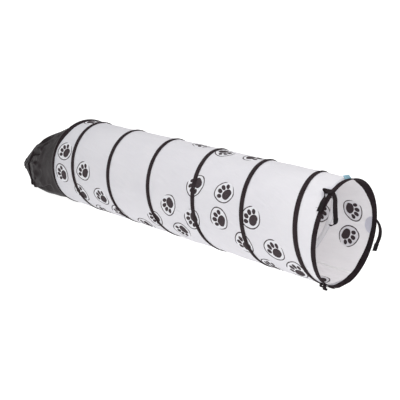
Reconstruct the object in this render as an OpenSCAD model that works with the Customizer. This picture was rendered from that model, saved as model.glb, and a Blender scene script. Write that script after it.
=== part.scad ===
// Pop-up agility tunnel for a dog or cat. A white fabric tube is held open by one spiral
// spring wire under a black binding tape, with a hemmed mouth and a soft black end sock.
// The tube's axis is X and its mouth faces +X. The floor is z = 0. Angles round the tube
// are measured from its lowest line towards -Y.

/* [Tube] */
// Radius of the spring wire's centre line
wire_ring_r = 249; // [200:1:300]
// Distance between the two end rings
tunnel_len = 1855; // [1500:5:2200]
// Depth by which the resting tube is pressed flat along the floor
flat_depth = 3.5; // [2:0.1:5]
// Radius of the spring steel wire
wire_r = 1.2; // [0.8:0.1:1.2]
// Thickness of the white fabric skin
skin_t = 0.8; // [0.5:0.1:1]
// Angle at which the spiral leaves the mouth ring
start_angle = -25; // [-30:1:-12]
// How far the hand-sewn spiral strays from an even pitch
pitch_sway = 9.5; // [0:0.5:12]

/* [Tapes and hems] */
// Half the width of the spiral binding tape
tape_half = 12.5; // [8:0.5:14]
// Width of the mouth hem's outer flange
hem_outer_w = 24; // [14:1:26]
// Width of the mouth hem's inner flange
hem_inner_w = 30; // [22:1:40]
// Width of the white tape inside the lengthwise seam
seam_w = 10; // [6:1:14]

/* [Ties] */
// Width of the tie ribbons
tie_w = 15; // [10:1:20]
// Thickness of the tie ribbons
tie_t = 1; // [0.8:0.1:1.4]
// Width of the hook-and-loop ends
pad_w = 19; // [16:1:24]
// Length of the hook-and-loop ends
pad_len = 35; // [25:1:45]
// Thickness of the hook-and-loop ends
pad_t = 2; // [1.5:0.1:2.6]
// Radius of the reinforcement patches behind the ties
patch_r = 50; // [40:1:60]

/* [End sock] */
// Length of the tapered sleeve behind the far ring
sleeve_len = 480; // [400:10:520]
// Length of the gathered end beyond the sleeve
gather_len = 180; // [140:2:200]
// Height of the sleeve's top edge where the gathered end begins
shoulder_top = 280; // [240:2:300]

/* [Hidden] */
turns = 5.9;
whole_turns = 5;
steps_per_turn = 60;
ring_detail = 96;
ring_rows = 120;
// Every layer is set out from the wire's centre line.
skin_out = wire_ring_r - 2.8;
skin_in = skin_out - skin_t;
tape_in = wire_ring_r - 1.6;
tape_out = wire_ring_r + 2.4;
axis_z = tape_out - flat_depth;
// Angle at which the pressed-flat part ends.
flat_edge = acos(1 - flat_depth / wire_ring_r);
flange_in = skin_out + 0.1;
flange_out = skin_out + 0.7;
inner_flange_out = skin_in - 0.1;
inner_flange_in = skin_in - 1;
bead_half = 2.4;
bead_wall = 0.8;
ferrule_gap = 0.1;
ferrule_wall = 0.15;
// The spiral starts and ends this far from the end rings' centre lines.
spiral_gap = 5.8;
tape_edge_gap = 0.3;
// Half the gap between neighbouring lengths of skin.
skin_gap = 0.05;
pitch = (tunnel_len - 2 * spiral_gap) / turns;
// The sock.
sock_t = 1;
sock_front = 2.9;
sock_front_r = wire_ring_r - 0.5;
shoulder_half_w = 60;
shoulder_low = 14;
tip_r = 22;
tip_z = 116;
tip_cord_r = 2;
sock_len = sleeve_len + gather_len;
// The part is centred between its ends and its sides.
front_reach = 6;
side_reach = 1.4;
mouth_x = (tunnel_len + sock_len - front_reach) / 2;
side_shift = -side_reach / 2;
// Angles of the three ties round the mouth.
tie_low = 35;
tie_near = 150;
tie_far = 270;
seam_angle = -24;

wire_color = [0.62, 0.63, 0.65];
skin_color = [0.90, 0.90, 0.92];
black_color = [0.13, 0.12, 0.13];
seam_color = [0.95, 0.95, 0.96];
label_color = [0.50, 0.66, 0.74];
pad_color = [0.09, 0.09, 0.10];
patch_color = [0.80, 0.80, 0.84];

// Distance of the spiral's centre line behind the mouth ring after t turns.
function spiral_x(t) = -spiral_gap - pitch * t
  + pitch_sway * sin(360 * t / turns);
// Planes at which one length of the tube ends and the next begins.
function plane_x(k) = k == 0 ? 1.2 : (k > whole_turns ? -tunnel_len - 1.2 : spiral_x(k));
// A point of the pressed-flat circle, in Y and Z from the tube's axis.
function round_yz(r, a) = [-r * sin(a), max(-r * cos(a), flat_depth - r)];

module placed() {
  translate([mouth_x, side_shift, axis_z]) children();
}

// A disc pressed flat on its lowest side.
module flat_disc(r) {
  intersection() {
    circle(r, $fn = ring_detail);
    translate([-r, flat_depth - r]) square([2 * r, 2 * r]);
  }
}

// A straight tube from x0 to x1 with the flat side down.
module flat_tube(x0, x1, r_in, r_out) {
  translate([x0, 0, 0]) rotate([90, 0, 90]) linear_extrude(x1 - x0) difference() {
    flat_disc(r_out);
    flat_disc(r_in);
  }
}

// A length of a ring about the tube's axis, from angle a0 to a1, of a flat section.
module ring_part(a0, a1) {
  rotate([0, 90, 0]) rotate([0, 0, -a1]) rotate_extrude(angle = a1 - a0, $fn = ring_detail)
    children();
}

// A band that lies on the tube from x0 to x1 and a0 to a1.
module band(x0, x1, a0, a1, r_in, r_out) {
  ring_part(a0, a1) translate([r_in, x0]) square([r_out - r_in, x1 - x0]);
}

// An end ring of round wire, straight along the flat side. The last row joins the first.
module ring_wire(x) {
  rows = [for (i = [0 : ring_rows - 1]) [for (s = wire_section())
    let (yz = round_yz(s[1], 360 * i / ring_rows)) [x + s[0], yz[0], yz[1]]]];
  m = len(rows[0]);
  faces = [for (i = [0 : ring_rows - 1]) for (j = [0 : m - 1]) let (next = (i + 1) % ring_rows)
    [i * m + j, i * m + (j + 1) % m, next * m + (j + 1) % m, next * m + j]];
  polyhedron([for (row = rows) for (p = row) p], faces, convexity = 10);
}

// A crimped sleeve round an end ring's joint.
module ferrule(x, a) {
  translate([x, 0, 0]) ring_part(a, a + 6) translate([wire_ring_r, 0]) difference() {
    circle(wire_r + ferrule_gap + ferrule_wall, $fn = 24);
    circle(wire_r + ferrule_gap, $fn = 24);
  }
}

// A body swept along the spiral from t0 to t1. Each row is a closed loop of section points.
module sweep(rows) {
  n = len(rows);
  m = len(rows[0]);
  points = [for (row = rows) for (p = row) p];
  sides = [for (i = [0 : n - 2]) for (j = [0 : m - 1])
    [i * m + j, i * m + (j + 1) % m, (i + 1) * m + (j + 1) % m, (i + 1) * m + j]];
  // Each end is closed with four-sided pieces that join opposite sides of the section.
  first = [for (j = [0 : m / 2 - 2]) [m - 1 - j, m - 2 - j, j + 1, j]];
  last = [for (f = first) [for (j = [3 : -1 : 0]) (n - 1) * m + f[j]]];
  polyhedron(points, concat(sides, first, last), convexity = 10);
}

function steps_between(t0, t1) = ceil((t1 - t0) * steps_per_turn);
// Row i of a turn. Rows fall on both edges of the part that is pressed flat on the floor.
function row_angle(i) = i <= 3 ? start_angle + i * (-flat_edge - start_angle) / 3
  : (i <= 6 ? (i - 4.5) * flat_edge / 1.5
    : flat_edge + (i - 6) * (360 + start_angle - flat_edge) / (steps_per_turn - 6));
function row_turn(t0, t1, i, n) = i == n ? t1 : t0 + (row_angle(i) - start_angle) / 360;
function spiral_row(t, section) = let (a = start_angle + 360 * t)
  [for (s = section) let (yz = round_yz(s[1], a)) [spiral_x(t) + s[0], yz[0], yz[1]]];

function wire_section() = [for (k = [0 : 7])
  [wire_r * cos(45 * k + 22.5), wire_ring_r + wire_r * sin(45 * k + 22.5)]];

// The tape is a folded channel over the wire. Its edges give way to the end hems.
function tape_right(t) = min(tape_half, max(3.1, -bead_half - tape_edge_gap - spiral_x(t)));
function tape_left(t) = min(tape_half,
  max(3.1, spiral_x(t) + tunnel_len - bead_half - tape_edge_gap));
function tape_section(t) = let (right = tape_right(t), left = tape_left(t)) [
  [-left, tape_in + 0.8], [-2.6, tape_in + 1], [-2.3, tape_in + 2.9], [-0.9, tape_out],
  [0.9, tape_out], [2.3, tape_in + 2.9], [2.6, tape_in + 1], [right, tape_in + 0.8],
  [right, tape_in], [1.6, tape_in], [1.6, tape_in + 2], [0.8, tape_in + 3],
  [-0.8, tape_in + 3], [-1.6, tape_in + 2], [-1.6, tape_in], [-left, tape_in]];

module wire_turn(k) {
  t0 = k - 1;
  t1 = min(k, turns);
  n = steps_between(t0, t1);
  color(wire_color) placed() sweep([for (i = [n : -1 : 0])
    spiral_row(row_turn(t0, t1, i, n), wire_section())]);
}

module binding(k) {
  t0 = k - 1;
  t1 = min(k, turns);
  n = steps_between(t0, t1);
  color(black_color) placed() sweep([for (i = [0 : n])
    let (t = row_turn(t0, t1, i, n)) spiral_row(t, tape_section(t))]);
}

// One length of the white tube, between two planes.
module skin(k) {
  color(skin_color) placed()
    flat_tube(plane_x(k) + skin_gap, plane_x(k - 1) - skin_gap, skin_in, skin_out);
}

// The lengthwise seam's tape inside one length of the tube, clear of the end hems.
module seam(k) {
  half = seam_w / skin_in * 90 / PI;
  x1 = k == 1 ? -hem_inner_w - 0.3 : plane_x(k - 1) - skin_gap;
  x0 = k > whole_turns ? -tunnel_len + hem_inner_w + 0.3 : plane_x(k) + skin_gap;
  color(seam_color) placed()
    band(x0, x1, seam_angle - half, seam_angle + half, inner_flange_in, inner_flange_out);
}

// A hem folded round an end ring: a bead with a flange inside and outside the skin.
// It is drawn for the mouth, and side = -1 turns it round for the far end.
module hem(side) {
  mirror([side < 0 ? 1 : 0, 0, 0]) {
    flat_tube(-bead_half, bead_half, wire_ring_r + 1.5, tape_out);
    flat_tube(-bead_half, -bead_half + bead_wall, flange_in, tape_out);
    flat_tube(bead_half - bead_wall, bead_half, inner_flange_in, tape_out);
    flat_tube(-hem_outer_w, -bead_half + bead_wall, flange_in, flange_out);
    flat_tube(-hem_inner_w, bead_half, inner_flange_in, inner_flange_out);
  }
}

module mouth_ring_wire() {
  color(wire_color) placed() ring_wire(0);
}

module far_ring_wire() {
  color(wire_color) placed() ring_wire(-tunnel_len);
}

module mouth_ferrule() {
  color(wire_color) placed() ferrule(0, 200);
}

module far_ferrule() {
  color(wire_color) placed() ferrule(-tunnel_len, 200);
}

module mouth_hem() {
  color(black_color) placed() hem(1);
}

module far_hem() {
  color(black_color) placed() translate([-tunnel_len, 0, 0]) hem(-1);
}

// A woven label folded into a loop, standing on top of the tube behind the hem.
module care_label() {
  color(label_color) placed() translate([-16, -24, flange_out + 0.1])
    rotate([0, 0, 15]) rotate([0, -18, 0]) rotate([90, 0, 90]) linear_extrude(1.8)
      difference() {
        square([44, 18]);
        translate([0.8, 0.8]) square([42.4, 16.4]);
      }
}

// Half-discs of fabric sewn inside the tube behind each tie.
module patch(a) {
  color(patch_color) placed() intersection() {
    band(-hem_inner_w - 0.3 - patch_r, -hem_inner_w - 0.3, a - 14, a + 14,
      inner_flange_in + 0.3, inner_flange_out);
    translate([-hem_inner_w - 0.3, 0, 0]) rotate([0, 90, 0]) rotate([0, 0, -a])
      rotate([0, 90, 0]) cylinder(r = patch_r, h = 2 * wire_ring_r, $fn = 48);
  }
}

module patch_low() {
  patch(tie_low);
}

module patch_near() {
  patch(tie_near);
}

module patch_far() {
  patch(tie_far);
}

// Near tie. The outer ribbon runs back along the tube, then turns down over its side.
tie_lift = tape_out + 0.3;
near_back = -62;
module tie_near_outer() {
  half = tie_w / tie_lift * 90 / PI;
  color(black_color) placed() difference() {
    band(near_back, -6, tie_near - 10, tie_near + half, tie_lift, tie_lift + tie_t);
    band(near_back + tie_w, 0, tie_near - 20, tie_near - half, tie_lift - 1, tie_lift + tie_t + 1);
  }
}

module tie_near_outer_pad() {
  color(pad_color) placed() band(near_back - 2, near_back - 2 + pad_w,
    tie_near - 10.1 - pad_len / tie_lift * 180 / PI, tie_near - 10.1,
    tie_lift - 0.5, tie_lift - 0.5 + pad_t);
}

near_y = -122;
near_top = 206.5;
near_drop = 112;
// The inner ribbon hangs straight down inside the mouth.
module tie_near_inner() {
  color(black_color) placed() translate([-tie_t, near_y - tie_w / 2, near_top - near_drop])
    cube([tie_t, tie_w, near_drop]);
}

module tie_near_inner_pad() {
  color(pad_color) placed()
    translate([-tie_t, near_y - pad_w / 2, near_top - near_drop - pad_len - 0.1])
      cube([pad_t, pad_w, pad_len]);
}

far_drop = 118;
far_side = tape_out + 0.4;
// Far tie. The outer ribbon hangs from the side of the rim.
module tie_far_outer() {
  color(black_color) placed() translate([-tie_w - 2, far_side, -far_drop])
    cube([tie_w, tie_t, far_drop]);
}

module tie_far_outer_pad() {
  color(pad_color) placed()
    translate([-tie_w / 2 - 2 - pad_w / 2, far_side - 1, -far_drop - pad_len - 0.1])
      cube([pad_w, pad_t, pad_len]);
}

in_lift = inner_flange_in - 0.3;
far_inner_arc = 26;
// The far tie's inner ribbon lies against the hem.
module tie_far_inner() {
  color(black_color) placed()
    band(-tie_w - 3, -3, tie_far, tie_far + far_inner_arc, in_lift - tie_t, in_lift);
}

module tie_far_inner_pad() {
  start = tie_far + far_inner_arc + 0.1;
  color(pad_color) placed() band(-tie_w / 2 - 3 - pad_w / 2, -tie_w / 2 - 3 + pad_w / 2,
    start, start + pad_len / in_lift * 180 / PI, in_lift - pad_t, in_lift);
}

// Low tie. Both ribbons drop to the floor, where their tails lie under the rim.
low_y = -(tape_out + 4) * sin(tie_low);
low_floor = 0.2;
low_drop = axis_z - sqrt(pow(tape_out, 2) - pow(low_y, 2)) - 0.8;
low_run = 30;
low_outer_x = -34;
low_inner_x = -11;
module low_drop_part(x) {
  color(black_color) placed() translate([x, low_y, -axis_z + low_floor])
    cube([tie_w, tie_t, low_drop]);
}

// A tail turns about the middle of its rounded end.
module low_tail(x) {
  color(black_color) placed()
    translate([x + tie_w / 2, low_y + tie_t + 0.4 + tie_w / 2, -axis_z + low_floor]) {
      cylinder(d = tie_w, h = tie_t, $fn = 32);
      translate([-tie_w / 2, 0, 0]) cube([tie_w, low_run - tie_w / 2 - 0.3, tie_t]);
    }
}

module low_pad(x) {
  color(pad_color) placed()
    translate([x - (pad_w - tie_w) / 2, low_y + tie_t + low_run + 0.2, -axis_z + low_floor])
      cube([pad_w, pad_len, pad_t]);
}

module tie_low_outer() {
  low_drop_part(low_outer_x);
}

module tie_low_outer_tail() {
  low_tail(low_outer_x);
}

module tie_low_outer_pad() {
  low_pad(low_outer_x);
}

module tie_low_inner() {
  low_drop_part(low_inner_x);
}

module tie_low_inner_tail() {
  low_tail(low_inner_x);
}

module tie_low_inner_pad() {
  low_pad(low_inner_x);
}

// The sock's outline at a distance s behind the far ring: half width, top and bottom
// height above the floor. It narrows and droops, then gathers to a blunt tip.
function blend(a, b, f) = a + (b - a) * f;
function sock_half(s) = s < sleeve_len
  ? blend(sock_front_r, shoulder_half_w, s / sleeve_len)
  : blend(shoulder_half_w, tip_r, (s - sleeve_len) / gather_len);
function sock_top(s) = s < sleeve_len
  ? blend(axis_z + sock_front_r, shoulder_top, s / sleeve_len)
  : blend(shoulder_top, tip_z + tip_r, (s - sleeve_len) / gather_len);
function sock_low(s) = s < sleeve_len
  ? blend(axis_z - sock_front_r, shoulder_low, s / sleeve_len)
  : blend(shoulder_low, tip_z - tip_r, (s - sleeve_len) / gather_len);
function sock_row(s, inset, n) = let (h = (sock_top(s) - sock_low(s)) / 2,
    mid = (sock_top(s) + sock_low(s)) / 2, w = sock_half(s))
  [for (j = [0 : n - 1]) let (a = 360 * j / n)
    [-tunnel_len - s, -(w - inset) * sin(a),
      max(mid - (h - inset) * cos(a), inset + 0.3) - axis_z]];

// A thin shell between an outer and an inner surface, open at both ends.
module shell(outer, inner) {
  n = len(outer);
  m = len(outer[0]);
  all = n * m;
  points = concat([for (row = outer) for (p = row) p], [for (row = inner) for (p = row) p]);
  out = [for (i = [0 : n - 2]) for (j = [0 : m - 1])
    [i * m + j, (i + 1) * m + j, (i + 1) * m + (j + 1) % m, i * m + (j + 1) % m]];
  in = [for (i = [0 : n - 2]) for (j = [0 : m - 1])
    [all + i * m + j, all + i * m + (j + 1) % m, all + (i + 1) * m + (j + 1) % m,
      all + (i + 1) * m + j]];
  front = [for (j = [0 : m - 1]) [j, (j + 1) % m, all + (j + 1) % m, all + j]];
  last = (n - 1) * m;
  back = [for (j = [0 : m - 1])
    [last + j, all + last + j, all + last + (j + 1) % m, last + (j + 1) % m]];
  polyhedron(points, concat(out, in, front, back), convexity = 10);
}

sock_points = 40;
module sock_sleeve() {
  stations = [for (i = [0 : 6]) blend(sock_front, sleeve_len - 0.1, i / 6)];
  color(black_color) placed() shell([for (s = stations) sock_row(s, 0, sock_points)],
    [for (s = stations) sock_row(s, sock_t, sock_points)]);
}

module sock_end() {
  stations = [for (i = [0 : 4]) blend(sleeve_len, sock_len, i / 4)];
  color(black_color) placed() shell([for (s = stations) sock_row(s, 0, sock_points)],
    [for (s = stations) sock_row(s, sock_t, sock_points)]);
}

// A drawn-up cord round the gathered tip.
cord_slack = 5.2;
module sock_cord() {
  cord_back = 8;
  cord_ring_r = blend(tip_r, shoulder_half_w, cord_back / gather_len) + tip_cord_r + cord_slack;
  color(black_color) placed() translate([-tunnel_len - sock_len + cord_back, 0, tip_z - axis_z])
    rotate([0, 90, 0]) rotate_extrude($fn = 48) translate([cord_ring_r, 0])
      circle(tip_cord_r, $fn = 16);
}

module wire_turn_1() {
  wire_turn(1);
}

module wire_turn_2() {
  wire_turn(2);
}

module wire_turn_3() {
  wire_turn(3);
}

module wire_turn_4() {
  wire_turn(4);
}

module wire_turn_5() {
  wire_turn(5);
}

module wire_turn_6() {
  wire_turn(6);
}

module binding_1() {
  binding(1);
}

module binding_2() {
  binding(2);
}

module binding_3() {
  binding(3);
}

module binding_4() {
  binding(4);
}

module binding_5() {
  binding(5);
}

module binding_6() {
  binding(6);
}

module skin_1() {
  skin(1);
}

module skin_2() {
  skin(2);
}

module skin_3() {
  skin(3);
}

module skin_4() {
  skin(4);
}

module skin_5() {
  skin(5);
}

module skin_6() {
  skin(6);
}

module seam_1() {
  seam(1);
}

module seam_2() {
  seam(2);
}

module seam_3() {
  seam(3);
}

module seam_4() {
  seam(4);
}

module seam_5() {
  seam(5);
}

module seam_6() {
  seam(6);
}

mouth_ring_wire();
mouth_ferrule();
mouth_hem();
care_label();
patch_low();
patch_near();
patch_far();
wire_turn_1();
wire_turn_2();
wire_turn_3();
wire_turn_4();
wire_turn_5();
wire_turn_6();
binding_1();
binding_2();
binding_3();
binding_4();
binding_5();
binding_6();
skin_1();
skin_2();
skin_3();
skin_4();
skin_5();
skin_6();
seam_1();
seam_2();
seam_3();
seam_4();
seam_5();
seam_6();
tie_near_outer();
tie_near_outer_pad();
tie_near_inner();
tie_near_inner_pad();
tie_far_outer();
tie_far_outer_pad();
tie_far_inner();
tie_far_inner_pad();
tie_low_outer();
tie_low_outer_tail();
tie_low_outer_pad();
tie_low_inner();
tie_low_inner_tail();
tie_low_inner_pad();
far_ring_wire();
far_ferrule();
far_hem();
sock_sleeve();
sock_end();
sock_cord();
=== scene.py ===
"""A pop-up tunnel for a dog or cat: a white printed fabric tube on one spiral spring, with a
hemmed mouth, three pairs of ties and a soft black end sock.

Lengths are metres. Places on the tube are given as (x, a, r): x along the tube from the mouth
ring (0) to the far ring (-LENGTH), a the angle in degrees from the tube's lowest line towards -Y,
and r the distance from the tube's axis. place() turns them into the row frame."""

import math

import bpy
import numpy as np
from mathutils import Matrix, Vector


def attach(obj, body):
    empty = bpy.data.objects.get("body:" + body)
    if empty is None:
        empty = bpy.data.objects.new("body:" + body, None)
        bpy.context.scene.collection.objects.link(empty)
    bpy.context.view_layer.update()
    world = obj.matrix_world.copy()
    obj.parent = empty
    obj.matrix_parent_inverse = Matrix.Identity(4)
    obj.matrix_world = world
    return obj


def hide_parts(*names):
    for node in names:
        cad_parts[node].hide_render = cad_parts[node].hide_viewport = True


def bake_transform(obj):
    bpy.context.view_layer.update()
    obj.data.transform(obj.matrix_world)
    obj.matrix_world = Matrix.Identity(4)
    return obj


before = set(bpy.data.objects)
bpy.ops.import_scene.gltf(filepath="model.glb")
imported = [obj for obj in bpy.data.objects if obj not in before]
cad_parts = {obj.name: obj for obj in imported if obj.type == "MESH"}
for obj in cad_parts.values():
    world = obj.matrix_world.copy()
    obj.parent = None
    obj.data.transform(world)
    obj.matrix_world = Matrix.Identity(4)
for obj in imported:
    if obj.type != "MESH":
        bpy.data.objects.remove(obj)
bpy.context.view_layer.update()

# ---------------------------------------------------------------- the tube's measures
MOUTH_X, SIDE_Y = 1.2545, -0.0007
LENGTH = 1.855
TURNS = 5.9
START_ANGLE = -25.0
SPIRAL_GAP = 0.0058
PITCH = (LENGTH - 2 * SPIRAL_GAP) / TURNS
PITCH_SWAY = 0.0095
RING_R = 0.249
WIRE_R = 0.0012
SKIN_R = 0.2462
TAPE_IN, TAPE_OUT = 0.2474, 0.2514
TAPE_HALF = 0.0128
AXIS_Z = 0.2479         # the rings are pressed flat where they rest
CIRCUM = 2 * math.pi * SKIN_R
SKIN_INSET = 0.0045     # the skin ends this far inside each end ring
LENGTHS = range(1, 7)   # the tube is cut into one length for each turn


def spiral_x(t):
    return -SPIRAL_GAP - PITCH * t + PITCH_SWAY * np.sin(2 * math.pi * np.asarray(t, float) / TURNS)


PLANES = [0.0012] + [float(spiral_x(k)) for k in range(1, 6)] + [-LENGTH - 0.0012]
_T = np.linspace(-0.2, 6.4, 3301)
_TX = spiral_x(_T)


def turn_at(x):
    """The spiral's turn count where its centre line is at x."""
    return np.interp(-np.asarray(x, float), -_TX, _T)


def smooth(v):
    v = np.clip(v, 0, 1)
    return v * v * (3 - 2 * v)


def catmull_rom(p0, p1, p2, p3, s):
    """The place s of the way from p1 to p2 on a smooth curve through all four."""
    return 0.5 * (2 * p1 + (p2 - p0) * s + (2 * p0 - 5 * p1 + 4 * p2 - p3) * s * s
                  + (3 * p1 - p0 - 3 * p2 + p3) * s**3)


def lean(x, a):
    """Neither end ring stands quite square to the tube."""
    s, c = np.sin(np.radians(a)), np.cos(np.radians(a))
    return smooth((x + 0.26) / 0.26) * (0.0079 * s + 0.0011 * c) - smooth((-x - 1.6) / 0.25) * 0.0052 * s


def place(x, a, r):
    x, a, r = np.broadcast_arrays(np.asarray(x, float), np.asarray(a, float), np.asarray(r, float))
    s, c = np.sin(np.radians(a)), np.cos(np.radians(a))
    height = np.maximum(AXIS_Z - r * c, TAPE_OUT - r)
    return np.stack([MOUTH_X + x + lean(x, a), SIDE_Y - r * s, height], -1)


# ---------------------------------------------------------------- noise
def _hash(i, j, seed):
    n = (i * 374761393 + j * 668265263 + seed * 974711) & 0xFFFFFFFF
    n = ((n ^ (n >> 13)) * 1274126177) & 0xFFFFFFFF
    return ((n ^ (n >> 16)) & 0xFFFF) / 65535.0


def noise(u, v, seed, wrap=0):
    """Smooth noise from -1 to 1. With wrap, v repeats after that many cells."""
    u, v = np.broadcast_arrays(np.asarray(u, float), np.asarray(v, float))
    i, j = np.floor(u).astype(np.int64), np.floor(v).astype(np.int64)
    fu, fv = u - i, v - j
    fu, fv = fu * fu * (3 - 2 * fu), fv * fv * (3 - 2 * fv)

    def corner(di, dj):
        jj = j + dj
        if wrap:
            jj = jj % wrap
        return _hash(i + di, jj, seed)

    low = corner(0, 0) * (1 - fu) + corner(1, 0) * fu
    high = corner(0, 1) * (1 - fu) + corner(1, 1) * fu
    return 2 * (low * (1 - fv) + high * fv) - 1


# ---------------------------------------------------------------- the shape of the skin
# Tension creases: (x, arc along the skin, half length, half width, angle, depth).
CREASES = [
    (-0.285, 0.505, 0.075, 0.007, -33, 0.0016),
    (-0.235, 0.560, 0.070, 0.006, -20, 0.0009),
    (-0.300, 0.590, 0.060, 0.006, -12, 0.0008),
    (-0.150, 0.640, 0.060, 0.006, -24, 0.0008),
    (-0.190, 0.610, 0.060, 0.005, -16, 0.0008),
    (-0.210, 0.455, 0.060, 0.006, -14, 0.0008),
    (-0.085, 0.610, 0.040, 0.005, 14, 0.0010),
    (-0.090, 0.560, 0.045, 0.005, 34, 0.0009),
    (-0.075, 0.690, 0.040, 0.005, -22, 0.0009),
    (-0.060, 0.470, 0.030, 0.005, 8, 0.0006),
    (-0.140, 1.370, 0.060, 0.006, 9, 0.0008),
    (-0.095, 1.200, 0.050, 0.005, -6, 0.0007),
]


def wall_r(x, a):
    """The skin's radius. Between the turns it hangs: out over the floor, in over the top."""
    x, a = np.broadcast_arrays(np.asarray(x, float), np.asarray(a, float))
    t = turn_at(x)
    phase = ((a - START_ANGLE) / 360.0) % 1.0
    m = np.floor(t - phase)
    before, after = phase + m, phase + m + 1
    x_near = np.where(before >= 0, spiral_x(before), 0.0)
    x_far = np.where(after <= TURNS, spiral_x(after), -LENGTH)
    span = np.maximum(x_near - x_far, 1e-4)
    u = np.clip((x_near - x) / span, 0, 1)
    slack = 4 * u * (1 - u) * np.minimum(span / PITCH, 1.1) ** 1.5
    c = np.cos(np.radians(a))
    hang = 0.0042 * smooth((c - 0.35) / 0.5) - 0.0016 * smooth((0.45 - c) / 0.9)
    arc = np.radians(a % 360) * SKIN_R
    cell = CIRCUM / 72
    lay = 0.13 * x
    fine = noise(x / 0.11 + 7, (arc + lay) / cell, 11, 72)
    fine = fine * (0.45 + 0.55 * np.abs(noise(x / 0.35, arc / (4 * cell), 5, 18)))
    broad = noise(x / 0.20 + 3, (arc - 0.25 * x) / (2 * cell), 23, 36)
    thin = noise(x / 0.06 + 1, (arc + 0.3 * x) / (0.5 * cell), 29, 144)
    r = SKIN_R + hang * slack + np.sqrt(slack) * (0.0024 * fine + 0.0018 * broad + 0.0008 * thin)
    for cx, ca, half, wide, turn, deep in CREASES:
        dx = x - cx
        da = (arc - ca + CIRCUM / 2) % CIRCUM - CIRCUM / 2
        ct, st = math.cos(math.radians(turn)), math.sin(math.radians(turn))
        along, across = dx * ct + da * st, da * ct - dx * st
        across = across + 0.12 * along * along / half
        bump = np.exp(-((along / half) ** 2)) * np.exp(-((across / wide) ** 2))
        r = r - 1.5 * deep * bump * np.minimum(1, 3 * slack)
    # The floor holds the cloth up along the lowest line.
    return np.minimum(r, TAPE_OUT - 0.0004 + 0.02 * (1 - smooth((c - 0.80) / 0.10)))


def wall(x, a, lift=0.0):
    return place(x, a, wall_r(x, a) + lift)


# ---------------------------------------------------------------- mesh helpers
def new_mesh(name, points, faces, mats, face_mats=None, uvs=None):
    """points (n, 3); faces a list of index arrays (m, 4) or (m, 3)."""
    mesh = bpy.data.meshes.new(name)
    loops = np.concatenate([np.asarray(f).reshape(-1) for f in faces]).astype(np.int32)
    totals = np.concatenate([np.full(len(f), np.asarray(f).shape[1]) for f in faces]).astype(np.int32)
    starts = np.concatenate([[0], np.cumsum(totals)[:-1]]).astype(np.int32)
    mesh.vertices.add(len(points))
    mesh.vertices.foreach_set("co", np.asarray(points, np.float32).reshape(-1))
    mesh.loops.add(len(loops))
    mesh.loops.foreach_set("vertex_index", loops)
    mesh.polygons.add(len(totals))
    mesh.polygons.foreach_set("loop_start", starts)
    mesh.polygons.foreach_set("loop_total", totals)
    mesh.update(calc_edges=True)
    mesh.polygons.foreach_set("use_smooth", np.full(len(totals), True))
    if uvs is not None:
        layer = mesh.uv_layers.new(name="painted_shade")
        layer.data.foreach_set("uv", np.asarray(uvs, np.float32)[loops].reshape(-1))
    for m in mats if isinstance(mats, (list, tuple)) else [mats]:
        mesh.materials.append(m)
    if face_mats is not None:
        mesh.polygons.foreach_set("material_index", np.asarray(face_mats, np.int32))
    mesh.validate()
    obj = bpy.data.objects.new(name, mesh)
    bpy.context.collection.objects.link(obj)
    return obj


def grid_faces(rows, cols, close_rows=False, close_cols=False, start=0):
    i = np.arange(rows if close_rows else rows - 1)[:, None]
    j = np.arange(cols if close_cols else cols - 1)[None, :]
    i2, j2 = (i + 1) % rows, (j + 1) % cols
    quad = [i * cols + j, i * cols + j2, i2 * cols + j2, i2 * cols + j]
    return np.stack([np.broadcast_to(q, (i.shape[0], j.shape[1])) for q in quad], -1).reshape(-1, 4) + start


class Parts:
    """Collects points and faces of several patches into one mesh."""

    def __init__(self):
        self.points, self.faces, self.mats, self.uvs, self.weights, self.count = [], [], [], [], [], 0

    def add(self, points, faces, mat=0, uvs=None, weights=None):
        points = np.asarray(points, float).reshape(-1, 3)
        for f in faces if isinstance(faces, list) else [faces]:
            f = np.asarray(f)
            self.faces.append(f + self.count)
            self.mats.append(np.full(len(f), mat))
        self.points.append(points)
        if uvs is None:
            uvs = np.zeros((len(points), 2))
        if weights is None:
            weights = np.zeros(len(points))
        self.uvs.append(np.asarray(uvs, float).reshape(-1, 2))
        self.weights.append(np.broadcast_to(np.asarray(weights, float).reshape(-1), len(points)))
        self.count += len(points)

    def mesh(self, name, mats):
        return new_mesh(name, np.concatenate(self.points), self.faces, mats, np.concatenate(self.mats),
                        np.concatenate(self.uvs))

    def weight(self):
        return np.concatenate(self.weights)


def share(x, k):
    """How far a place x in length k of the tube has moved from its near plane to its far one."""
    return np.clip((PLANES[k - 1] - x) / (PLANES[k - 1] - PLANES[k]), 0, 1)


def slide_between(obj):
    """Bakes obj's placement into its mesh."""
    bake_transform(obj)


def closing_part(obj, weights, replaced=None):
    """obj lies in length k of the tube. Its placement is baked into its mesh, and the part it replaces is
    hidden.
    """
    slide_between(obj)
    if replaced:
        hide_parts(replaced)


def part_of(obj, body, replaced):
    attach(obj, body)
    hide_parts(replaced)


def add_stitches(made, x, a, base, lift, half_width, weights=None):
    """A row of stitches, each a ridge four points long and three wide, lifted along its middle."""
    sides = [place(x - half_width, a, base), place(x, a, base + lift), place(x + half_width, a, base)]
    points = np.stack(sides, 2)
    faces = (grid_faces(4, 3)[None] + 12 * np.arange(len(x))[:, None, None]).reshape(-1, 4)
    made.add(points.reshape(-1, 3), faces, 1, None, weights)


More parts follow.
